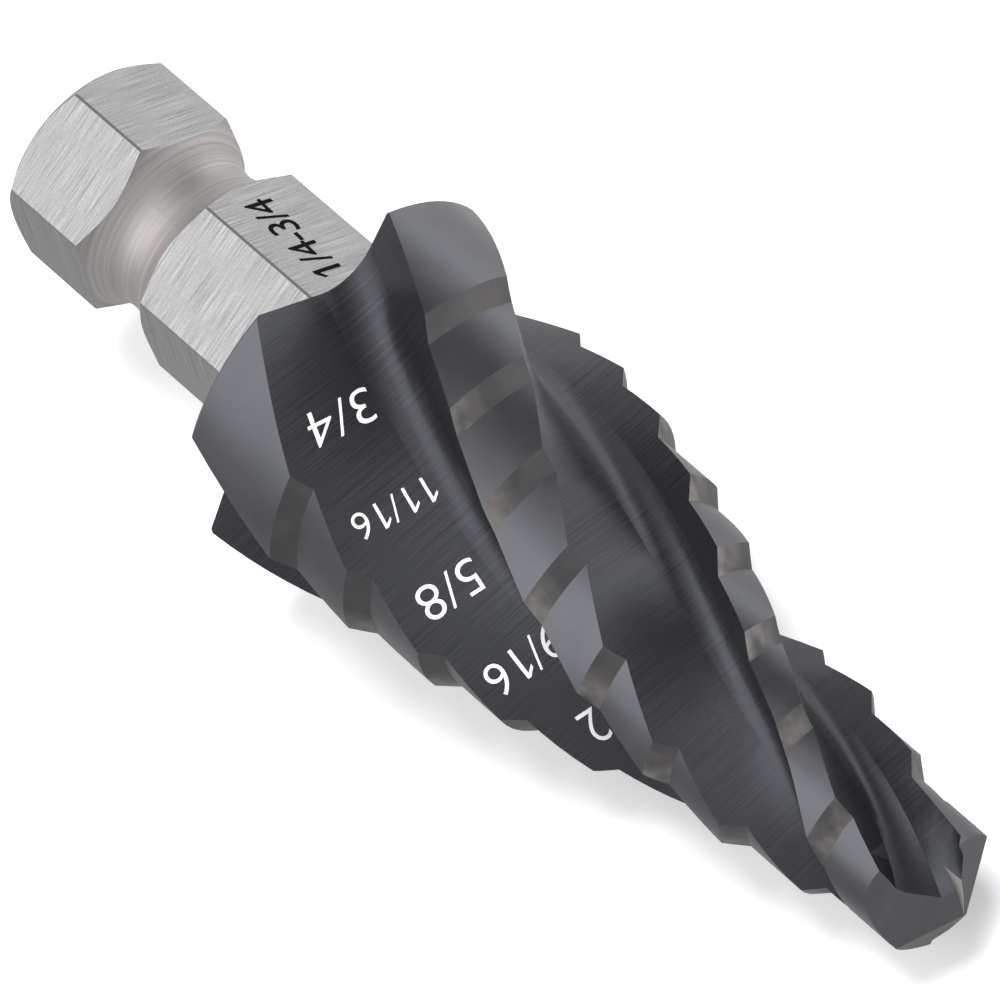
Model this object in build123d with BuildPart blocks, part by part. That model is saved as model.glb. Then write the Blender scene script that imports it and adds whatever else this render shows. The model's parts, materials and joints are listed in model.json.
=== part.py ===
"""Step drill for sheet metal: nine sizes from 1/4 to 3/4 inch, four twisted flutes, a two-lip point
and a 3/8 inch hex quick-change shank, all ground from one bar. Lengths in millimetres.

The drill is built on its own axis, point towards +Z and back face of the stepped body at z = 0. It
is then laid down as it comes to rest, on the corners of two neighbouring lands: at the largest step
and at the second and third.
"""

import os
from math import acos, atan2, cos, pi, radians, sin, tan

from build123d import *

INCH = 25.4

# Stepped body: nine diameters, 1/16 inch apart.
STEP_COUNT = 9
LARGEST_DIAMETER = 3 / 4 * INCH
DIAMETER_DROP = 1 / 16 * INCH
FIRST_STEP_LENGTH = 5.85
STEP_PITCH = 4.05
STEP_CHAMFER_LENGTH = 0.92
BACK_EDGE_BREAK = 0.12
APEX_Z = 40.8

# Hex shank behind the body.
HEX_ACROSS_FLATS = 3 / 8 * INCH
SHANK_LENGTH = 17.8
SHANK_END_RADIUS = 4.6
SHANK_END_SLOPE = 39.0
HEX_EDGE_BREAK = 0.08
HEX_TURN = -17.0

# Quick-change neck: a round groove turned into the hex.
NECK_CENTRE_Z = -10.25
NECK_FLOOR_RADIUS = 4.0
NECK_ARC_RADIUS = 2.5

# Flutes. Angles are about the axis, and a right-hand cutting edge leads its land.
CUTTING_EDGE_START = -47.0
TWIST_RATE = 3.45
TWIST_GAIN = 0.00086
FLUTE_WIDTH_START = 54.5
MAIN_WIDTH_GAIN = 0.5
MINOR_WIDTH_GAIN = 0.42
RAKE_LEAN_START = 13.0
RAKE_LEAN_END = 6.0
FLOOR_FILLET_START = 2.3
FLOOR_FILLET_END = 0.9
FLOOR_RADIUS_START = 6.25
MAIN_FLOOR_RADIUS_END = 0.9
MAIN_FLUTE_END_Z = 39.5
MINOR_FLOOR_RADIUS_END = 3.1
MINOR_FLUTE_END_Z = 29.5
MINOR_RUN_OUT_LENGTH = 7.7
MINOR_RUN_OUT_SLIDE = 3.4
FLUTE_OVERRUN = 1.5
FLUTE_CLEARANCE = 2.0
FLUTE_STATIONS = 7
RUN_OUT_STATIONS = 5

# Point: two lips, four ground facets, and a notch in front of each lip.
LIP_ANGLE = 141.5
POINT_ANGLE = 135.0
PRIMARY_RELIEF = 14.0
PRIMARY_FACET_ANGLE = 42.0
CLEARANCE_RELIEF = 45.0
WEB_HALF_THICKNESS = 0.06
NOTCH_DEPTH = 0.15
NOTCH_SLOPE = 45.0
NOTCH_FLOOR_RISE = 55.0

# Rest on the floor: tilt of the axis, and the turn that puts two neighbouring lands down.
REST_TILT = 6.806
REST_TURN = 177.086


def step_radius(step):
    """Radius of one step, 0 being the largest."""
    return (LARGEST_DIAMETER - step * DIAMETER_DROP) / 2


def blend(start, end, share):
    return start + (end - start) * share


def mean_cone_radius(z):
    """Radius at z of the smooth cone through the middles of the step chamfers."""
    first_chamfer_middle = FIRST_STEP_LENGTH + STEP_CHAMFER_LENGTH / 2
    return step_radius(0.5) - DIAMETER_DROP / 2 / STEP_PITCH * (z - first_chamfer_middle)


def cutting_edge_angle(z):
    """The twist quickens a little towards the point, where the drill is slimmer."""
    return CUTTING_EDGE_START + TWIST_RATE * z + TWIST_GAIN * z**3


def flute_section(z, floor_radius, width_gain, slide=0.0):
    """Draws one flute across the axis at z: rake face, floor fillet and heel face.

    The section's own x runs through the cutting edge and its y into the flute. slide moves the
    section out along its heel face, where the flute runs out.
    """
    share = z / MAIN_FLUTE_END_Z
    cone = mean_cone_radius(z)
    fillet_radius = blend(FLOOR_FILLET_START, FLOOR_FILLET_END, share)
    lean = radians(blend(RAKE_LEAN_START, RAKE_LEAN_END, share))
    width = radians(FLUTE_WIDTH_START + width_gain * z)
    edge = Vector(cone, 0)
    rake_out = Vector(cos(lean), -sin(lean))
    rake_normal = Vector(sin(lean), cos(lean))
    # The fillet stands on the floor radius and touches the rake face.
    across = edge.dot(rake_normal) + fillet_radius
    along = ((floor_radius + fillet_radius) ** 2 - across**2) ** 0.5
    centre = rake_out * along + rake_normal * across
    rake_foot = centre - rake_normal * fillet_radius
    # The heel face runs from the heel down to where it touches the fillet.
    heel = Vector(cone * cos(width), cone * sin(width))
    to_heel = heel - centre
    foot_angle = atan2(to_heel.Y, to_heel.X) + acos(fillet_radius / to_heel.length)
    heel_foot = centre + Vector(cos(foot_angle), sin(foot_angle)) * fillet_radius
    heel_out = (heel - heel_foot).normalized()
    # The floor arc turns from the rake foot past the axis side to the heel foot.
    rake_foot_angle = atan2(-rake_normal.Y, -rake_normal.X) + 2 * pi
    middle_angle = (rake_foot_angle + foot_angle) / 2
    floor_middle = centre + Vector(cos(middle_angle), sin(middle_angle)) * fillet_radius
    shift = heel_out * slide
    outer_rake = edge + rake_out * FLUTE_CLEARANCE
    outer_heel = heel + heel_out * FLUTE_CLEARANCE
    crown = Vector(cos(width / 2), sin(width / 2)) * (cone + 2 * FLUTE_CLEARANCE)
    turn = radians(cutting_edge_angle(z))
    across_axis = Plane(origin=(0, 0, z), x_dir=(cos(turn), sin(turn), 0), z_dir=(0, 0, 1))
    with BuildSketch(across_axis) as section:
        with BuildLine():
            Line(outer_rake + shift, rake_foot + shift)
            ThreePointArc(rake_foot + shift, floor_middle + shift, heel_foot + shift)
            Line(heel_foot + shift, outer_heel + shift)
            Polyline(outer_heel + shift, crown + shift, outer_rake + shift)
        make_face()
    return section.sketch


# Main flutes run the whole body and deepen steadily to the web at the point.
main_sections = []
for station in range(FLUTE_STATIONS):
    share = station / (FLUTE_STATIONS - 1)
    z = blend(-FLUTE_OVERRUN, MAIN_FLUTE_END_Z + FLUTE_OVERRUN, share)
    floor = blend(FLOOR_RADIUS_START, MAIN_FLOOR_RADIUS_END, z / MAIN_FLUTE_END_Z)
    main_sections.append(flute_section(z, floor, MAIN_WIDTH_GAIN))
with BuildPart() as main_flute:
    loft(main_sections)

# The second pair is shallower and runs out at the start of the smallest step.
minor_sections = []
for station in range(FLUTE_STATIONS):
    share = station / (FLUTE_STATIONS - 1)
    z = blend(-FLUTE_OVERRUN, MINOR_FLUTE_END_Z, share)
    floor = blend(FLOOR_RADIUS_START, MINOR_FLOOR_RADIUS_END, z / MINOR_FLUTE_END_Z)
    minor_sections.append(flute_section(z, floor, MINOR_WIDTH_GAIN))
with BuildPart() as minor_flute:
    loft(minor_sections)

run_out_sections = []
for station in range(RUN_OUT_STATIONS):
    share = station / (RUN_OUT_STATIONS - 1)
    z = blend(MINOR_FLUTE_END_Z, MINOR_FLUTE_END_Z + MINOR_RUN_OUT_LENGTH, share)
    floor = blend(FLOOR_RADIUS_START, MINOR_FLOOR_RADIUS_END, z / MINOR_FLUTE_END_Z)
    slide = MINOR_RUN_OUT_SLIDE * share**2
    run_out_sections.append(flute_section(z, floor, MINOR_WIDTH_GAIN, slide))
with BuildPart() as minor_run_out:
    loft(run_out_sections)

# The point is ground flat: behind each lip a primary facet, then a steeper one that clears the heel.
primary_place = (
    Location((0, 0, APEX_Z))
    * Rotation(0, 0, LIP_ANGLE)
    * Rotation(0, 90 - POINT_ANGLE / 2, 0)
    * Rotation(PRIMARY_RELIEF, 0, 0)
)
clearance_place = (
    primary_place * Rotation(0, 0, -PRIMARY_FACET_ANGLE) * Rotation(CLEARANCE_RELIEF, 0, 0)
)
with BuildPart() as point_grind:
    with Locations(primary_place, clearance_place):
        Box(
            LARGEST_DIAMETER,
            LARGEST_DIAMETER,
            LARGEST_DIAMETER / 2,
            align=(Align.CENTER, Align.CENTER, Align.MIN),
        )

# A notch in front of each lip thins the web and splits the chisel edge.
notch_place = (
    Location((0, 0, APEX_Z))
    * Rotation(0, 0, LIP_ANGLE)
    * Location((0, WEB_HALF_THICKNESS, -NOTCH_DEPTH))
    * Rotation(0, NOTCH_SLOPE, 0)
)
with BuildPart() as notch:
    with BuildSketch(Plane.YZ):
        with BuildLine():
            reach = step_radius(0)
            floor_rise = radians(NOTCH_FLOOR_RISE)
            floor_end = (reach * cos(floor_rise), reach * sin(floor_rise))
            Polyline((0, 0), floor_end, (0, reach), close=True)
        make_face()
    extrude(amount=step_radius(0), both=True)

with BuildPart() as bar:
    # Stepped body, turned from the bar, with a cutting chamfer in front of each step.
    with BuildSketch(Plane.XZ):
        with BuildLine():
            outline = [(0, 0), (step_radius(0) - BACK_EDGE_BREAK, 0)]
            outline.append((step_radius(0), BACK_EDGE_BREAK))
            for step in range(STEP_COUNT - 1):
                shoulder = FIRST_STEP_LENGTH + step * STEP_PITCH
                outline.append((step_radius(step), shoulder))
                outline.append((step_radius(step + 1), shoulder + STEP_CHAMFER_LENGTH))
            outline.append((step_radius(STEP_COUNT - 1), APEX_Z))
            outline.append((0, APEX_Z))
            Polyline(*outline, close=True)
        make_face()
    revolve(axis=Axis.Z)
    for turn in (0, 180):
        add(main_flute.part.moved(Rotation(0, 0, turn)), mode=Mode.SUBTRACT)
    for turn in (90, 270):
        add(minor_flute.part.moved(Rotation(0, 0, turn)), mode=Mode.SUBTRACT)
        add(minor_run_out.part.moved(Rotation(0, 0, turn)), mode=Mode.SUBTRACT)
    for lip in (0, 180):
        add(point_grind.part.moved(Rotation(0, 0, lip)), mode=Mode.SUBTRACT)
        add(notch.part.moved(Rotation(0, 0, lip) * notch_place), mode=Mode.SUBTRACT)

    # Hex shank with broken long edges and a turned chamfer at its end.
    with BuildSketch(Plane.XY):
        RegularPolygon(HEX_ACROSS_FLATS / 2, 6, major_radius=False, rotation=HEX_TURN)
        chamfer(vertices(), HEX_EDGE_BREAK)
    extrude(amount=-SHANK_LENGTH)
    with BuildSketch(Plane.XZ):
        with BuildLine():
            chamfer_rise = (step_radius(0) - SHANK_END_RADIUS) * tan(radians(SHANK_END_SLOPE))
            Polyline(
                (SHANK_END_RADIUS, -SHANK_LENGTH),
                (step_radius(0), -SHANK_LENGTH),
                (step_radius(0), chamfer_rise - SHANK_LENGTH),
                close=True,
            )
        make_face()
        with Locations((NECK_FLOOR_RADIUS + NECK_ARC_RADIUS, NECK_CENTRE_Z)):
            Circle(NECK_ARC_RADIUS)
    revolve(axis=Axis.Z, mode=Mode.SUBTRACT)

# Laid down with the point ahead along +X, and centred over the origin on the floor.
lying = bar.part.moved(Rotation(0, 90 + REST_TILT, 0) * Rotation(0, 0, REST_TURN))
extent = lying.bounding_box()
with BuildPart() as step_drill:
    add(lying.moved(Location((-extent.center().X, -extent.center().Y, -extent.min.Z))))

step_drill.part.label = "step_drill"
os.makedirs("parts", exist_ok=True)
export_step(step_drill.part, "parts/step_drill.step")
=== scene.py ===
"""Scene for the step drill, lying on a pale floor: coated and ground steel, size marks, light, camera.

Lengths are in the drill's own millimetres, z along its axis towards the point with z = 0 at the
back face of the stepped body, unless a name says metres. What stands round the drill, the floor,
the lamp and the camera, is placed in metres.
"""

import json
from math import cos, radians, sin

import bmesh
import bpy
import numpy as np
from mathutils import Matrix, Vector

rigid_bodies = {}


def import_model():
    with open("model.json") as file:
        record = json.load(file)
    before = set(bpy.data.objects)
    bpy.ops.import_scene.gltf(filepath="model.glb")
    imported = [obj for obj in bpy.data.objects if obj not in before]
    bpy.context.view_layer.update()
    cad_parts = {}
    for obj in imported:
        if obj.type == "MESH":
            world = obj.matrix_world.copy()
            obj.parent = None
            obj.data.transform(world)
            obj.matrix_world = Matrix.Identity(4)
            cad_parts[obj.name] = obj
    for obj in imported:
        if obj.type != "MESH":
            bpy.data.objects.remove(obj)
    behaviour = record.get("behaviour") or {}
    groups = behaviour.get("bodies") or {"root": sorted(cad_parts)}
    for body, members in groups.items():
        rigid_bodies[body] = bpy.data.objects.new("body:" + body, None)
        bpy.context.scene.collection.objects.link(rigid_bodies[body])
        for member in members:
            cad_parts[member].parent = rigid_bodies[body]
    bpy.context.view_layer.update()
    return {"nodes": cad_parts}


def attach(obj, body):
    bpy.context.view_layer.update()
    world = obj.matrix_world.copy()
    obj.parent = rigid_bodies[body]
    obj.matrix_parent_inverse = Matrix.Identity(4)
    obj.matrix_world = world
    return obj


METRES = 0.001

# How the drill lies: turned about its axis, tipped point down, then moved over the origin.
REST_TILT = 6.806
REST_TURN = 177.086
REST_SHIFT = (-11.1464, 0.0, 9.5471)

# The stepped body: its rounds and chamfers, then the twist of its flutes in degrees by z and z cubed.
LARGEST_RADIUS = 9.525
RADIUS_DROP = 0.79375
STEP_COUNT = 9
FIRST_STEP_LENGTH = 5.85
STEP_PITCH = 4.05
STEP_CHAMFER_LENGTH = 0.92
TWIST_RATE = 3.45
TWIST_GAIN = 0.00086
CUTTING_EDGE_START = -47.0
LAND_PITCH = 90.0
BACK_FACE_DEPTH = 0.2

# The point: where its ground facets and its notch begin, the least area of one facet, and which way
# the notch's wall faces.
FACETS_START_Z = 36.0
NOTCH_START_Z = 37.5
FACET_AREA = 0.6
NOTCH_FACING = (0.6225, 0.7826, 0.0)

# The shank.
HEX_TURN = -17.0
HEX_FLAT_RADIUS = 4.7625
HEX_EDGE_RADIUS = 5.459
SHANK_END_Z = -17.8
END_CHAMFER_REACH = 1.2

# How far the corners of a triangle may lie off a round, a flat or a broken edge that they belong to.
ROUND_TOLERANCE = 0.004
FLAT_TOLERANCE = 0.003
EDGE_TOLERANCE = 0.01

# Finishes: where the swing from one cutting edge to the next begins, behind the edge, and the slope in
# x and y of the planes that the wheel marks lie in.
LAND_SEAM = 30.0
MARK_SLOPE = (-0.41, 0.15)

# White sizes: name, words, height of a numeral, and how the words are laid on the flute: middle, facing
# direction, reading direction, stretch along the line and lean.
FLUTE_MARKS = (
    ("size_3_4", "3/4", 1.75, ((6.73, 1.6, 5.1), (0.8, -0.42, 0.42), (1.33, 2.12, -0.3), 1.22, 0.16)),
    ("size_11_16", "11/16", 1.37, ((5.37, 3.06, 9.46), (0.9, -0.18, 0.4), (1.0, 3.2, -0.8), 1.0, 0.0)),
    ("size_5_8", "5/8", 1.75, ((3.79, 4.19, 13.43), (0.92, 0.0, 0.39), (0.1, 2.05, -0.6), 1.08, 0.0)),
    ("size_9_16", "9/16", 1.7, ((2.07, 4.35, 17.68), (0.84, 0.39, 0.38), (-0.8, 3.0, -1.1), 1.04, 0.0)),
    ("size_1_2", "1/2", 1.8, ((0.4, 3.53, 21.85), (0.69, 0.59, 0.42), (-0.8, 3.0, -1.1), 1.1, 0.0)),
)

# The black range on the hex: middle, reading direction, height of a numeral and letter spacing.
RANGE_MIDDLE = (3.568, -3.184, -4.44)
RANGE_READING = (-0.24, -0.224, -5.018)
RANGE_HEIGHT = 1.68
RANGE_SPACING = 0.9

# Shares of a numeral's height: the font size that gives it, the width of a stroke, what white ink
# takes off each side of a stroke, and how far the flag of a 1 runs back and down.
FONT_SIZE = 1 / 0.73
STROKE_WIDTH = 0.12
STROKE_THINNING = 0.012
FLAG_BACK = 0.22
FLAG_DOWN = 0.2
# How much thicker the flag is where it leaves the upright.
FLAG_ROOT = 1.3

# Printing: how far the ink stands proud, how far out the letters start, how far round the middle the
# steel is searched, and the cells that a letter is cut into, with where the first cut lies.
PRINT_LIFT = 0.012
PRINT_START = 3.0
PRINT_SEARCH = 7.0
PRINT_CELL = 0.16
PRINT_FIRST_CUT = 0.1

# Photograph's view: a long lens from above and behind the point, rolled.
CAMERA_PLACE = (0.19725, 0.01677, 0.31051)
CAMERA_TURN = (20.988, 26.490, 45.453)
CAMERA_LENS = 288.0
CAMERA_SENSOR = 36.0

# Studio: the level all round, then lobes as azimuth, height, edge, core (degrees) and gain.
STUDIO_LEVEL = 0.52
STUDIO_LOBES = (
    (-135.0, 52.0, 42.0, 18.0, 0.85),
    (90.0, 88.0, 60.0, 20.0, 0.25),
    (97.0, 34.0, 42.0, 12.0, -0.38),
    (105.0, 0.0, 24.0, 6.0, 0.6),
)
KEY_PLACE = (0.045, 0.18, 0.62)
KEY_SIZE = 0.24
KEY_POWER = 3.7
FLOOR_HALF = 1.5
FLOOR_LIFT = 0.24
# Where metal sees the floor turn from dim to bright, as two places on y, and the two levels.
FLOOR_IN_METAL = (-0.02, 0.1, 0.04, 1.18)


def turn_y(angle):
    """Rotation by an angle in degrees about y."""
    c, s = cos(radians(angle)), sin(radians(angle))
    return np.array([[c, 0, s], [0, 1, 0], [-s, 0, c]])


def turn_z(angle):
    """Rotation by an angle in degrees about z."""
    c, s = cos(radians(angle)), sin(radians(angle))
    return np.array([[c, -s, 0], [s, c, 0], [0, 0, 1]])


REST_ROTATION = turn_y(90 + REST_TILT) @ turn_z(REST_TURN)


def to_drill(points):
    """Scene metres to drill millimetres: take off the shift, then turn back."""
    return (points / METRES - np.array(REST_SHIFT)) @ REST_ROTATION


def to_scene(points):
    """Drill millimetres to scene metres: turn, then shift."""
    return (points @ REST_ROTATION.T + np.array(REST_SHIFT)) * METRES


def step_radius(step):
    """Radius of a step's round, counted from 0 at the largest: each is one drop smaller."""
    return LARGEST_RADIUS - step * RADIUS_DROP


def drill_triangles(node):
    """The node's triangles in drill millimetres, with their normals and areas."""
    mesh = node.data
    corners = np.empty(len(mesh.vertices) * 3, np.float32)
    mesh.vertices.foreach_get("co", corners)
    corners = to_drill(corners.reshape(-1, 3).astype(float))
    faces = np.empty(len(mesh.polygons) * 3, np.int32)
    mesh.polygons.foreach_get("vertices", faces)
    triangles = corners[faces.reshape(-1, 3)]
    cross = np.cross(triangles[:, 1] - triangles[:, 0], triangles[:, 2] - triangles[:, 0])
    double_area = np.linalg.norm(cross, axis=1)
    normals = cross / np.maximum(double_area, 1e-12)[:, None]
    return triangles, normals, double_area / 2


def ground_flats(triangles, normals, areas):
    """Which triangles of the point lie on its flat ground facets, found as normals that many share."""
    near_point = triangles[:, :, 2].min(axis=1) > FACETS_START_Z
    rounded = np.round(normals, 2)
    kinds, which = np.unique(rounded, axis=0, return_inverse=True)
    shared = np.bincount(which.ravel(), weights=areas * near_point, minlength=len(kinds))
    return near_point & (shared[which.ravel()] > FACET_AREA) & (normals[:, 2] > 0.15)


def sort_body(kind, triangles, normals, areas):
    """Marks the body's lands, chamfers, back face, ground facets and notch; the rest stays flute.

    A land keeps its step's radius. On a chamfer the radius falls evenly, from one step's to the
    next step's, over the chamfer's length.
    """
    z = triangles[:, :, 2]
    radius = np.hypot(triangles[:, :, 0], triangles[:, :, 1])
    middle = triangles.mean(axis=1)
    from_axis = np.maximum(np.hypot(middle[:, 0], middle[:, 1]), 1e-6)
    outward = (normals[:, 0] * middle[:, 0] + normals[:, 1] * middle[:, 1]) / from_axis
    for step in range(STEP_COUNT):
        on_round = (np.abs(radius - step_radius(step)) < ROUND_TOLERANCE).all(axis=1)
        kind[on_round & (outward > 0.98) & (middle[:, 2] > 0)] = "land"
    for step in range(STEP_COUNT - 1):
        rise = (z - FIRST_STEP_LENGTH - step * STEP_PITCH) / STEP_CHAMFER_LENGTH
        off_cone = np.abs(radius - step_radius(step) + rise * RADIUS_DROP)
        on_cone = (off_cone < ROUND_TOLERANCE).all(axis=1)
        within = (rise > -0.01).all(axis=1) & (rise < 1.01).all(axis=1)
        kind[on_cone & within & (normals[:, 2] > 0.5) & (outward > 0.5)] = "chamfer"
    kind[(middle[:, 2] < BACK_FACE_DEPTH) & (normals[:, 2] < -0.4)] = "back"
    kind[ground_flats(triangles, normals, areas)] = "point"
    across_lip = np.abs(normals @ np.array(NOTCH_FACING)) > 0.999
    kind[across_lip & (middle[:, 2] > NOTCH_START_Z)] = "notch"


def sort_shank(kind, triangles, normals):
    """Marks the shank's hex flats, broken edges and end; what is left behind the body is neck.

    A flat or a broken edge is known by how far out the plane of a triangle lies and by how far its
    facing direction is from the nearest corner of the hex.
    """
    z = triangles[:, :, 2]
    behind = z.mean(axis=1) < -0.001
    kind[behind] = "neck"
    plane = (triangles * normals[:, None, :]).sum(axis=2)
    facing = np.degrees(np.arctan2(normals[:, 1], normals[:, 0])) - HEX_TURN
    off_corner = np.abs((facing + 30.0) % 60.0 - 30.0)
    square_on = behind & (np.abs(normals[:, 2]) < 0.01)
    on_flat = (np.abs(plane - HEX_FLAT_RADIUS) < FLAT_TOLERANCE).all(axis=1)
    kind[square_on & on_flat & (off_corner > 29.0)] = "hex"
    on_edge = (np.abs(plane - HEX_EDGE_RADIUS) < EDGE_TOLERANCE).all(axis=1)
    kind[square_on & on_edge & (off_corner < 1.0)] = "hex_edge"
    at_end = (z < SHANK_END_Z + END_CHAMFER_REACH).all(axis=1)
    kind[behind & (normals[:, 2] < -0.2) & at_end] = "hex_end"


def sort_surfaces(triangles, normals, areas):
    """Gives every triangle its kind of surface, by where it lies and which way it faces."""
    kind = np.full(len(triangles), "flute", dtype=object)
    sort_body(kind, triangles, normals, areas)
    sort_shank(kind, triangles, normals)
    return kind


class Nodes:
    """A short way to lay and join shader nodes in one tree."""

    def __init__(self, tree):
        self.tree = tree

    def add(self, kind, *inputs, output=0, **settings):
        """Adds a node, feeds its inputs in order, and hands back one of its outputs."""
        node = self.tree.nodes.new(kind)
        for name, value in settings.items():
            setattr(node, name, value)
        for place, value in enumerate(inputs):
            self.feed(node.inputs[place], value)
        return node.outputs[output]

    def feed(self, socket, value):
        """Links an output to a socket, or sets the socket's own value."""
        if isinstance(value, bpy.types.NodeSocket):
            self.tree.links.new(value, socket)
        elif value is not None:
            socket.default_value = value

    def maths(self, operation, *inputs):
        """One step of arithmetic on values."""
        return self.add("ShaderNodeMath", *inputs, operation=operation)

    def ramp(self, value, low, high, to_low=0.0, to_high=1.0):
        """Carries value from low..high onto to_low..to_high, held at the ends."""
        return self.add("ShaderNodeMapRange", value, low, high, to_low, to_high)

    def noise(self, place, scale, detail=2.0, roughness=0.5):
        """A soft random pattern from 0 to 1, with so many lumps to a unit of length."""
        return self.add("ShaderNodeTexNoise", place, None, scale, detail, roughness)

    def split(self, vector):
        """The x, y and z of a vector."""
        node = self.tree.nodes.new("ShaderNodeSeparateXYZ")
        self.feed(node.inputs[0], vector)
        return node.outputs

    def colours(self, factor, low, high):
        """Mixes two colours by a factor from 0 to 1."""
        node = self.tree.nodes.new("ShaderNodeMix")
        node.data_type = "RGBA"
        self.feed(node.inputs[0], factor)
        self.feed(node.inputs[6], low)
        self.feed(node.inputs[7], high)
        return node.outputs[2]

    def bump(self, height, strength, distance):
        """A normal that follows a height pattern, its distance in metres."""
        node = self.tree.nodes.new("ShaderNodeBump")
        node.inputs["Strength"].default_value = strength
        node.inputs["Distance"].default_value = distance
        self.feed(node.inputs["Height"], height)
        return node.outputs[0]

    def group(self, name, **inputs):
        """Places a shader group by its name, feeds its named inputs, and hands back its outputs."""
        node = self.tree.nodes.new("ShaderNodeGroup")
        node.node_tree = bpy.data.node_groups[name]
        for socket, value in inputs.items():
            self.feed(node.inputs[socket], value)
        return node.outputs


def start_group(name, inputs, outputs):
    """An empty shader group with named sockets: its helper, its inputs in order and its end node."""
    group = bpy.data.node_groups.new(name, "ShaderNodeTree")
    for socket, kind in inputs:
        group.interface.new_socket(socket, in_out="INPUT", socket_type=kind)
    for socket, kind in outputs:
        group.interface.new_socket(socket, in_out="OUTPUT", socket_type=kind)
    start = group.nodes.new("NodeGroupInput")
    end = group.nodes.new("NodeGroupOutput")
    return Nodes(group), list(start.outputs)[: len(inputs)], end


def make_drill_place():
    """Group: where a point lies on the drill.

    Place is the point in the drill's own millimetres and Along its z. Radius is the distance from the
    axis. Swing is the turn in degrees from the nearest cutting edge, with the twist taken off: from 0
    across a flute to its heel at 60, and from -30 up to 0 over the land behind an edge.
    Lie counts the parallel planes that the wheel marks lie in, tipped from square to the axis: z plus
    the point's x and y times the two parts of the slope.
    """
    n, (point,), end = start_group(
        "drill_place",
        [("Point", "NodeSocketVector")],
        [
            ("Place", "NodeSocketVector"),
            ("Along", "NodeSocketFloat"),
            ("Radius", "NodeSocketFloat"),
            ("Swing", "NodeSocketFloat"),
            ("Lie", "NodeSocketFloat"),
        ],
    )
    back = REST_ROTATION.T
    shift = tuple(-back @ np.array(REST_SHIFT))
    turn = tuple(Matrix(back.tolist()).to_euler())
    scale = (1 / METRES,) * 3
    place = n.add("ShaderNodeMapping", point, shift, turn, scale, vector_type="POINT")
    x, y, z = n.split(place)
    radius = n.maths("SQRT", n.maths("ADD", n.maths("MULTIPLY", x, x), n.maths("MULTIPLY", y, y)))
    angle = n.maths("DEGREES", n.maths("ARCTAN2", y, x))
    cubed = n.maths("MULTIPLY", n.maths("MULTIPLY", z, z), n.maths("MULTIPLY", z, TWIST_GAIN))
    twist = n.maths("MULTIPLY_ADD", z, TWIST_RATE, cubed)
    from_edge = n.maths("SUBTRACT", n.maths("SUBTRACT", angle, twist), CUTTING_EDGE_START - LAND_SEAM)
    swing = n.maths("SUBTRACT", n.maths("FLOORED_MODULO", from_edge, LAND_PITCH), LAND_SEAM)
    lie = n.maths("MULTIPLY_ADD", x, MARK_SLOPE[0], n.maths("MULTIPLY_ADD", y, MARK_SLOPE[1], z))
    for socket, value in zip(end.inputs, (place, z, radius, swing, lie)):
        n.feed(socket, value)


def make_cut_lines():
    """Group: fine parallel marks of a wheel, brush or lathe tool.

    Step counts millimetres across the marks and Run is a place that varies along them. Fine is their
    pattern, Broad a slower unevenness of the same direction, both from 0 to 1.
    """
    n, (step, run, pitch, length), end = start_group(
        "cut_lines",
        [
            ("Step", "NodeSocketFloat"),
            ("Run", "NodeSocketVector"),
            ("Pitch", "NodeSocketFloat"),
            ("Length", "NodeSocketFloat"),
        ],
        [("Fine", "NodeSocketFloat"), ("Broad", "NodeSocketFloat")],
    )
    stretched = n.add("ShaderNodeVectorMath", run, operation="SCALE")
    n.feed(stretched.node.inputs["Scale"], n.maths("DIVIDE", 1.0, length))
    across = n.add("ShaderNodeCombineXYZ", n.maths("DIVIDE", step, pitch), 0.0, 0.0)
    fine_place = n.add("ShaderNodeVectorMath", stretched, across, operation="ADD")
    broad_place = n.add("ShaderNodeVectorMath", fine_place, (0.14, 0.5, 0.5), operation="MULTIPLY")
    n.feed(end.inputs["Fine"], n.ramp(n.noise(fine_place, 1.0, roughness=0.6), 0.3, 0.7))
    n.feed(end.inputs["Broad"], n.ramp(n.noise(broad_place, 1.0), 0.3, 0.7))


def make_edge_wear_and_highlight():
    """Group: how far the coating is worn off along the cutting edges, together with a painted highlight
    on the same strip.

    The distance from the edge is radius times the swing in radians. The mask is 1 on the edge and falls
    to 0 over Reach millimetres, broken up by a noise.
    """
    n, (place, radius, swing, reach_in), end = start_group(
        "edge_wear_and_highlight",
        [
            ("Place", "NodeSocketVector"),
            ("Radius", "NodeSocketFloat"),
            ("Swing", "NodeSocketFloat"),
            ("Reach", "NodeSocketFloat"),
        ],
        [("WearAndHighlight", "NodeSocketFloat")],
    )
    distance = n.maths("ABSOLUTE", n.maths("MULTIPLY", radius, n.maths("RADIANS", swing)))
    near = n.maths("SUBTRACT", 1.0, n.maths("DIVIDE", distance, reach_in))
    broken = n.ramp(n.noise(place, 0.8), 0.3, 0.6)
    n.feed(end.inputs["WearAndHighlight"], n.add("ShaderNodeClamp", n.maths("MULTIPLY", broken, near), 0.0, 1.0))


def start_material(name, metallic=1.0):
    """A metallic material, with its node helper, its shader and the drill's place group."""
    material = bpy.data.materials.new(name)
    material.use_nodes = True
    n = Nodes(material.node_tree)
    shader = material.node_tree.nodes["Principled BSDF"]
    shader.inputs["Metallic"].default_value = metallic
    place = n.group("drill_place", Point=n.add("ShaderNodeTexCoord", output=3))
    return material, n, shader, place


def tint(level, violet=0.0):
    """A near-grey colour with a share of violet: a little less red and more blue."""
    return (level * (1 - 0.2 * violet), level, level * (1 + violet), 1.0)


def round_axis(n, place):
    """The place with its z taken off, for marks that vary only round the axis and not along it."""
    return n.add("ShaderNodeVectorMath", place["Place"], (1, 1, 0), operation="MULTIPLY")


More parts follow.
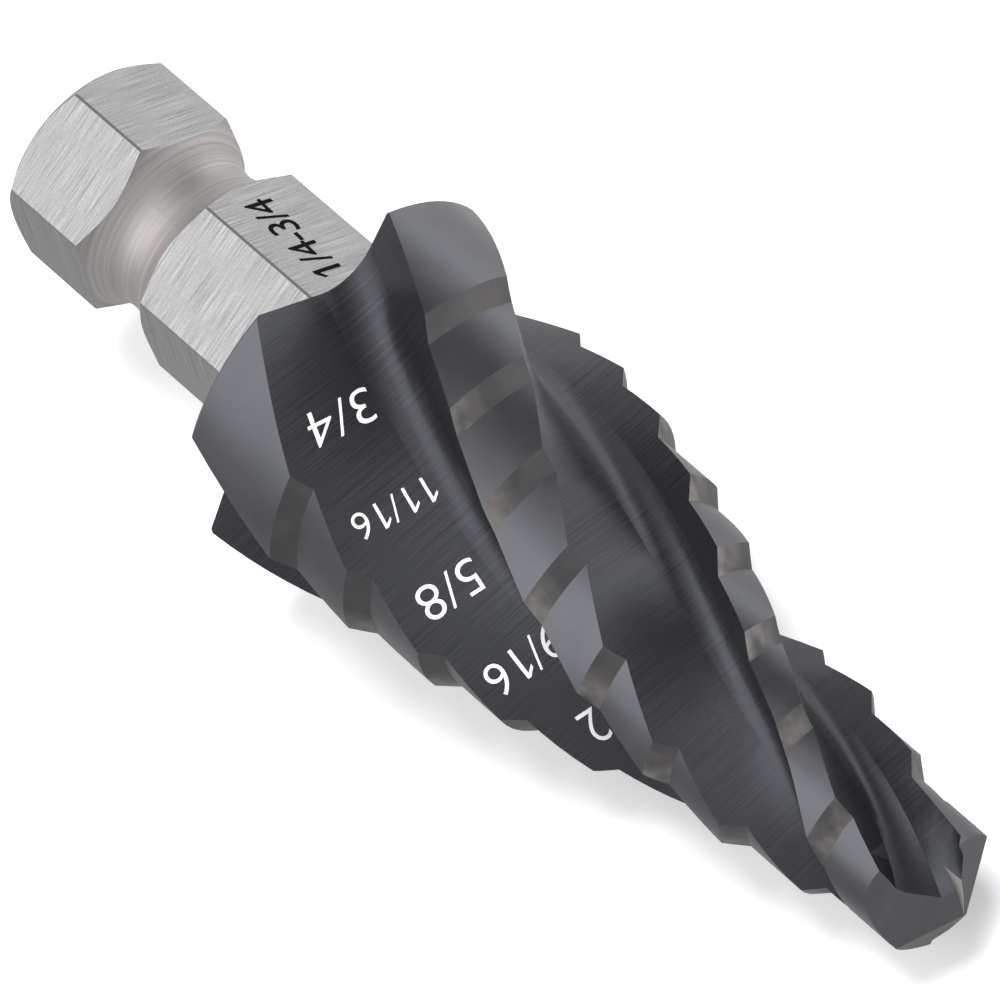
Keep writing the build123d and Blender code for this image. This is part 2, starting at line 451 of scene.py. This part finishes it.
def flute_coating():
    """Black coating in the flutes, with fine straight wheel marks that fade towards the point."""
    material, n, shader, place = start_material("flute_coating", 0.8)
    marks = n.group("cut_lines", Step=place["Lie"], Run=round_axis(n, place), Pitch=0.048, Length=5.0)
    contrast = n.ramp(place["Along"], 8.0, 34.0, 0.95, 0.5)
    level = n.maths("MULTIPLY_ADD", n.maths("SUBTRACT", marks["Fine"], 0.5), contrast, 0.5)
    n.feed(shader.inputs["Base Color"], n.colours(level, tint(0.046, 0.15), tint(0.1, 0.13)))
    n.feed(shader.inputs["Roughness"], n.ramp(marks["Fine"], 0.0, 1.0, 0.25, 0.32))
    n.feed(shader.inputs["Normal"], n.bump(marks["Fine"], 0.13, 0.00001))
    return material


def land_coating():
    """Smooth dark satin on the round lands."""
    material, n, shader, place = start_material("land_coating", 0.9)
    cloud = n.noise(place["Place"], 0.5)
    plain = n.colours(n.ramp(cloud, 0.3, 0.7), tint(0.136, 0.1), tint(0.155, 0.1))
    n.feed(shader.inputs["Base Color"], plain)
    n.feed(shader.inputs["Roughness"], n.ramp(cloud, 0.3, 0.7, 0.27, 0.33))
    return material


def chamfer_coating():
    """Ground step chamfers: thin brown-grey coating, lighter next to the cutting edge, partly as
    coating worn to light steel and partly as a painted highlight.

    This lighter strip fades out towards the largest step, whose chamfer stays darker.
    """
    material, n, shader, place = start_material("chamfer_coating", 0.8)
    round_edge = n.maths("MULTIPLY", n.maths("RADIANS", place["Swing"]), place["Radius"])
    along = n.add("ShaderNodeCombineXYZ", 0.0, 0.0, place["Along"])
    marks = n.group("cut_lines", Step=round_edge, Run=along, Pitch=0.06, Length=0.8)
    cloud = n.ramp(n.noise(place["Place"], 0.6), 0.35, 0.75, 0.0, 0.5)
    level = n.maths("MULTIPLY_ADD", marks["Fine"], 0.3, cloud)
    plain = n.colours(level, (0.1, 0.097, 0.102, 1), (0.16, 0.151, 0.152, 1))
    patchy = n.ramp(marks["Broad"], 0.0, 1.0, 0.6, 1.0)
    # Where the lighter edge strip shows: not on the largest step, and in patches further on.
    along_and_patches = n.maths("MULTIPLY", n.ramp(place["Along"], 6.5, 11.0), patchy)
    from_drill = {socket: place[socket] for socket in ("Place", "Radius", "Swing")}
    rubbed_and_highlight = n.group("edge_wear_and_highlight", Reach=1.9, **from_drill)
    wear_and_highlight = n.maths("MULTIPLY", rubbed_and_highlight["WearAndHighlight"], along_and_patches)
    # Light steel next to the cutting edges: partly worn coating, partly a painted highlight.
    n.feed(shader.inputs["Base Color"], n.colours(wear_and_highlight, plain, (0.4, 0.37, 0.355, 1)))
    n.feed(shader.inputs["Roughness"], n.ramp(marks["Fine"], 0.0, 1.0, 0.36, 0.46))
    n.feed(shader.inputs["Normal"], n.bump(marks["Fine"], 0.12, 0.00001))
    return material


def point_ground():
    """Facets of the point, ground smooth."""
    material, n, shader, place = start_material("point_ground", 0.8)
    marks = n.group("cut_lines", Step=place["Along"], Run=place["Place"], Pitch=0.12, Length=3.0)
    plain = n.colours(marks["Broad"], (0.134, 0.131, 0.142, 1), (0.16, 0.155, 0.168, 1))
    n.feed(shader.inputs["Base Color"], plain)
    n.feed(shader.inputs["Roughness"], n.ramp(marks["Fine"], 0.0, 1.0, 0.26, 0.32))
    return material


def notch_ground():
    """Wall of the point's notch, freshly ground bright steel."""
    material, n, shader, place = start_material("notch_ground", 0.3)
    cloud = n.noise(place["Place"], 3.0)
    plain = n.colours(cloud, (0.33, 0.315, 0.325, 1), (0.4, 0.385, 0.395, 1))
    n.feed(shader.inputs["Base Color"], plain)
    n.feed(shader.inputs["Roughness"], n.ramp(cloud, 0.0, 1.0, 0.4, 0.5))
    return material


def shank_steel(name, dark, light, pitch):
    """Bare steel with brush lines square to the axis."""
    material, n, shader, place = start_material(name)
    marks = n.group("cut_lines", Step=place["Along"], Run=round_axis(n, place), Pitch=pitch, Length=2.6)
    grit = n.ramp(n.noise(place["Place"], 9.0, 3.0, 0.7), 0.3, 0.7)
    level = n.maths("MULTIPLY_ADD", grit, 0.3, n.maths("MULTIPLY", marks["Fine"], 0.7))
    n.feed(shader.inputs["Base Color"], n.colours(level, tint(dark), tint(light)))
    n.feed(shader.inputs["Roughness"], n.ramp(marks["Fine"], 0.0, 1.0, 0.42, 0.32))
    n.feed(shader.inputs["Normal"], n.bump(marks["Fine"], 0.15, 0.00001))
    return material


def neck_steel():
    """Turned steel, faintly pink, with tool rings round the axis."""
    material, n, shader, place = start_material("neck_steel")
    marks = n.group("cut_lines", Step=place["Along"], Run=round_axis(n, place), Pitch=0.14, Length=8.0)
    plain = n.colours(marks["Fine"], (0.5, 0.475, 0.47, 1), (0.68, 0.645, 0.64, 1))
    n.feed(shader.inputs["Base Color"], plain)
    n.feed(shader.inputs["Roughness"], n.ramp(marks["Broad"], 0.0, 1.0, 0.5, 0.64))
    n.feed(shader.inputs["Normal"], n.bump(marks["Fine"], 0.3, 0.00002))
    return material


def print_ink(name, level):
    """Matt printing ink, slightly uneven."""
    material, n, shader, place = start_material(name, 0.0)
    shader.inputs["Specular IOR Level"].default_value = 0.05
    cloud = n.noise(place["Place"], 6.0)
    n.feed(shader.inputs["Base Color"], n.colours(cloud, tint(level * 0.94), tint(level)))
    n.feed(shader.inputs["Roughness"], n.ramp(cloud, 0.0, 1.0, 0.5, 0.65))
    return material


def dress_drill(node):
    """Lays each steel finish on the surfaces it belongs to, and hands back what lies where."""
    triangles, normals, areas = drill_triangles(node)
    kind = sort_surfaces(triangles, normals, areas)
    flute = flute_coating()
    finishes = {
        "flute": flute,
        "land": land_coating(),
        "chamfer": chamfer_coating(),
        "back": flute,
        "point": point_ground(),
        "notch": notch_ground(),
        "hex": shank_steel("hex_steel", 0.26, 0.58, 0.055),
        "hex_edge": shank_steel("hex_edge_steel", 0.34, 0.4, 0.07),
        "hex_end": shank_steel("hex_end_steel", 0.36, 0.5, 0.1),
        "neck": neck_steel(),
    }
    node.data.materials.clear()
    index = np.zeros(len(triangles), np.int32)
    for place, (name, material) in enumerate(finishes.items()):
        node.data.materials.append(material)
        index[kind == name] = place
    node.data.polygons.foreach_set("material_index", index)
    node.data.update()
    return triangles, kind


def first_hits(starts, direction, triangles):
    """How far each start travels along the direction to the nearest triangle, and which one it is.

    Each triangle is corner + u * edge1 + v * edge2, and the ray meets it where u and v are positive
    and add up to less than one, give or take a hair, so that none slips between two triangles.
    """
    hair = 1e-4
    corner = triangles[:, 0]
    edge1, edge2 = triangles[:, 1] - corner, triangles[:, 2] - corner
    across = np.cross(direction, edge2)
    scale = (edge1 * across).sum(axis=1)
    scale = np.where(np.abs(scale) < 1e-12, 1e-12, scale)
    away = starts[:, None, :] - corner[None]
    u = (away * across[None]).sum(axis=2) / scale
    turned = np.cross(away, edge1[None])
    v = (turned @ direction) / scale
    travel = (turned * edge2[None]).sum(axis=2) / scale
    travel[(u < -hair) | (v < -hair) | (u + v > 1 + hair) | (travel < 0)] = np.inf
    return travel.min(axis=1), travel.argmin(axis=1)


def letter_shapes(words, height, spacing, thinning):
    """Flat filled letters in millimetres, as a mesh that starts at x = 0 on the writing line."""
    curve = bpy.data.curves.new("letters", "FONT")
    curve.body = words
    curve.size = height * FONT_SIZE
    curve.offset = -thinning * height
    curve.space_character = spacing
    curve.resolution_u = 6
    carrier = bpy.data.objects.new("letters", curve)
    bpy.context.scene.collection.objects.link(carrier)
    bpy.context.view_layer.update()
    mesh = bpy.data.meshes.new_from_object(carrier)
    bpy.data.objects.remove(carrier)
    shape = bmesh.new()
    shape.from_mesh(mesh)
    bpy.data.meshes.remove(mesh)
    return shape


def reach(shape):
    """Lowest and highest corner of a flat shape."""
    places = np.array([vertex.co[:2] for vertex in shape.verts])
    return places.min(axis=0), places.max(axis=0)


def add_flag(shape, upright_end, height, stroke):
    """Gives a 1 its flag: a slanting bar that runs down and back from the top of its upright."""
    left, top = upright_end[0] - stroke, upright_end[1]
    back, down = left - FLAG_BACK * height, top - FLAG_DOWN * height
    corners = (
        (left, top, 0),
        (back, down, 0),
        (back, down - stroke, 0),
        (left, top - FLAG_ROOT * stroke, 0),
    )
    shape.faces.new([shape.verts.new(corner) for corner in corners])


def cut_into_cells(shape, half):
    """Cuts a flat shape that reaches half each way from the origin into small cells, then triangles."""
    for axis in range(2):
        square = [0.0, 0.0, 0.0]
        square[axis] = 1.0
        for cut in np.arange(-half[axis] + PRINT_FIRST_CUT, half[axis], PRINT_CELL):
            bmesh.ops.bisect_plane(
                shape,
                geom=shape.verts[:] + shape.edges[:] + shape.faces[:],
                plane_co=tuple(cut * value for value in square),
                plane_no=square,
            )
    bmesh.ops.triangulate(shape, faces=shape.faces)


def text_outline(words, height, spacing, thinning):
    """Flat filled words, centred, with flags on the ones, cut small so that they can bend."""
    shape = letter_shapes(words, height, spacing, thinning)
    for place, letter in enumerate(words):
        if letter == "1":
            upto = letter_shapes(words[: place + 1], height, spacing, thinning)
            add_flag(shape, reach(upto)[1], height, (STROKE_WIDTH - 2 * thinning) * height)
            upto.free()
    low, high = reach(shape)
    bmesh.ops.translate(shape, vec=(*(-(low + high) / 2), 0), verts=shape.verts)
    cut_into_cells(shape, (high - low) / 2)
    return shape


def print_mark(name, shape, laid, ink, surface, allowed):
    """Prints words on the drill: flat letters are lowered onto its surface along the facing direction.

    A letter point (a, b) starts at middle + (a * stretch + b * lean) * reading + b * up, a few
    millimetres out, and travels inwards until it meets the steel. What would land off the allowed
    surface is left out, so that a letter stops at the edge of its flute.
    """
    middle, facing, reading, stretch, lean = laid
    triangles, kind = surface
    mesh = bpy.data.meshes.new(name)
    shape.to_mesh(mesh)
    shape.free()
    flat = np.empty(len(mesh.vertices) * 3, np.float32)
    mesh.vertices.foreach_get("co", flat)
    flat = flat.reshape(-1, 3).astype(float)
    outward = np.array(facing, float) / np.linalg.norm(facing)
    right = np.array(reading, float) - outward * (np.array(reading) @ outward)
    right /= np.linalg.norm(right)
    up = np.cross(outward, right)
    written = flat[:, 0:1] * stretch * right + flat[:, 1:2] * (up + lean * right)
    starts = np.array(middle, float) + written + outward * PRINT_START
    near = np.linalg.norm(triangles.mean(axis=1) - np.array(middle), axis=1) < PRINT_SEARCH
    travel, met = first_hits(starts, -outward, triangles[near])
    held = np.isfinite(travel) & (kind[near][met] == allowed)
    travel = np.where(np.isfinite(travel), travel, PRINT_START)
    printed = starts - outward * (travel - PRINT_LIFT)[:, None]
    mesh.vertices.foreach_set("co", to_scene(printed).astype(np.float32).ravel())
    letters = bmesh.new()
    letters.from_mesh(mesh)
    letters.verts.ensure_lookup_table()
    lost = [letters.verts[i] for i in np.nonzero(~held)[0]]
    bmesh.ops.delete(letters, geom=lost, context="VERTS")
    letters.to_mesh(mesh)
    letters.free()
    mesh.materials.append(ink)
    mesh.update()
    mark = bpy.data.objects.new(name, mesh)
    bpy.context.scene.collection.objects.link(mark)
    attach(mark, "root")


def make_marks(surface):
    """White sizes down one flute, where each step ends, and the whole range in black on the hex."""
    white = print_ink("white_ink", 0.95)
    black = print_ink("black_ink", 0.004)
    for name, words, height, laid in FLUTE_MARKS:
        shape = text_outline(words, height, 1.0, STROKE_THINNING)
        print_mark(name, shape, laid, white, surface, "flute")
    flat = radians(HEX_TURN - 30)
    laid = (RANGE_MIDDLE, (cos(flat), sin(flat), 0), RANGE_READING, 1.0, 0.0)
    shape = text_outline("1/4-3/4", RANGE_HEIGHT, RANGE_SPACING, 0.0)
    print_mark("size_range", shape, laid, black, surface, "hex")


def make_floor():
    """A wide pale floor that turns white to the camera and keeps the drill's shadow.

    Metal sees it white too on the far side, and dimmer on the near side, as in a studio.
    """
    mesh = bpy.data.meshes.new("floor")
    corners = [(x * FLOOR_HALF, y * FLOOR_HALF, 0) for x, y in ((-1, -1), (1, -1), (1, 1), (-1, 1))]
    mesh.from_pydata(corners, [], [(0, 1, 2, 3)])
    floor = bpy.data.objects.new("floor", mesh)
    bpy.context.scene.collection.objects.link(floor)
    material = bpy.data.materials.new("floor_paper")
    material.use_nodes = True
    n = Nodes(material.node_tree)
    shader = material.node_tree.nodes["Principled BSDF"]
    shader.inputs["Roughness"].default_value = 0.9
    shader.inputs["Specular IOR Level"].default_value = 0.0
    shader.inputs["Emission Color"].default_value = (1, 1, 1, 1)
    point = n.add("ShaderNodeTexCoord", output=3)
    far_side = n.ramp(n.split(point)[1], *FLOOR_IN_METAL)
    path = n.tree.nodes.new("ShaderNodeLightPath")
    seen = n.maths("MAXIMUM", path.outputs["Is Camera Ray"], path.outputs["Is Transmission Ray"])
    in_metal = n.maths("MULTIPLY", path.outputs["Is Glossy Ray"], far_side)
    paper = n.colours(n.noise(point, 400.0), tint(0.89), tint(0.91))
    n.feed(shader.inputs["Base Color"], n.colours(seen, tint(0.27), paper))
    n.feed(shader.inputs["Emission Strength"], n.maths("MULTIPLY_ADD", seen, FLOOR_LIFT, in_metal))
    mesh.materials.append(material)


def make_surroundings():
    """A pale studio: a soft box above the shank, a paler ceiling, and a darker wall over a lit strip.

    Each of these is a lobe round its own direction: the cosine of the angle from it, carried
    onto 0 at the lobe's edge and 1 near its middle.
    """
    world = bpy.data.worlds.new("studio")
    bpy.context.scene.world = world
    world.use_nodes = True
    n = Nodes(world.node_tree)
    direction = n.add("ShaderNodeTexCoord", output=0)
    strength = STUDIO_LEVEL
    for azimuth, height, edge, core, gain in STUDIO_LOBES:
        a, h = radians(azimuth), radians(height)
        towards = (cos(a) * cos(h), sin(a) * cos(h), sin(h))
        facing = n.add("ShaderNodeVectorMath", direction, towards, operation="DOT_PRODUCT", output=1)
        lobe = n.tree.nodes.new("ShaderNodeMapRange")
        lobe.interpolation_type = "SMOOTHSTEP"
        for place, value in enumerate((facing, cos(radians(edge)), cos(radians(core)), 0.0, gain)):
            n.feed(lobe.inputs[place], value)
        strength = n.maths("ADD", lobe.outputs[0], strength)
    back = world.node_tree.nodes["Background"]
    back.inputs["Color"].default_value = (1, 1, 1, 1)
    n.feed(back.inputs["Strength"], strength)


def make_lamp():
    """One soft lamp high up on the far side, which puts the soft shadow on the near side."""
    lamp = bpy.data.lights.new("key", "AREA")
    lamp.size = KEY_SIZE
    lamp.energy = KEY_POWER
    holder = bpy.data.objects.new("key", lamp)
    holder.location = KEY_PLACE
    holder.rotation_euler = Vector(KEY_PLACE).to_track_quat("Z", "Y").to_euler()
    holder.visible_glossy = False
    bpy.context.scene.collection.objects.link(holder)


def make_camera():
    """The photograph's camera."""
    lens = bpy.data.cameras.new("camera")
    lens.sensor_width = CAMERA_SENSOR
    lens.lens = CAMERA_LENS
    lens.clip_start = 0.01
    lens.clip_end = 10.0
    camera = bpy.data.objects.new("camera", lens)
    camera.location = CAMERA_PLACE
    camera.rotation_euler = tuple(radians(angle) for angle in CAMERA_TURN)
    bpy.context.scene.collection.objects.link(camera)
    bpy.context.scene.camera = camera


for item in list(bpy.data.objects):
    bpy.data.objects.remove(item)
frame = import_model()
make_drill_place()
make_cut_lines()
make_edge_wear_and_highlight()
surface = dress_drill(frame["nodes"]["step_drill"])
make_marks(surface)
make_floor()
make_surroundings()
make_lamp()
make_camera()
bpy.context.scene.view_settings.view_transform = "Standard"
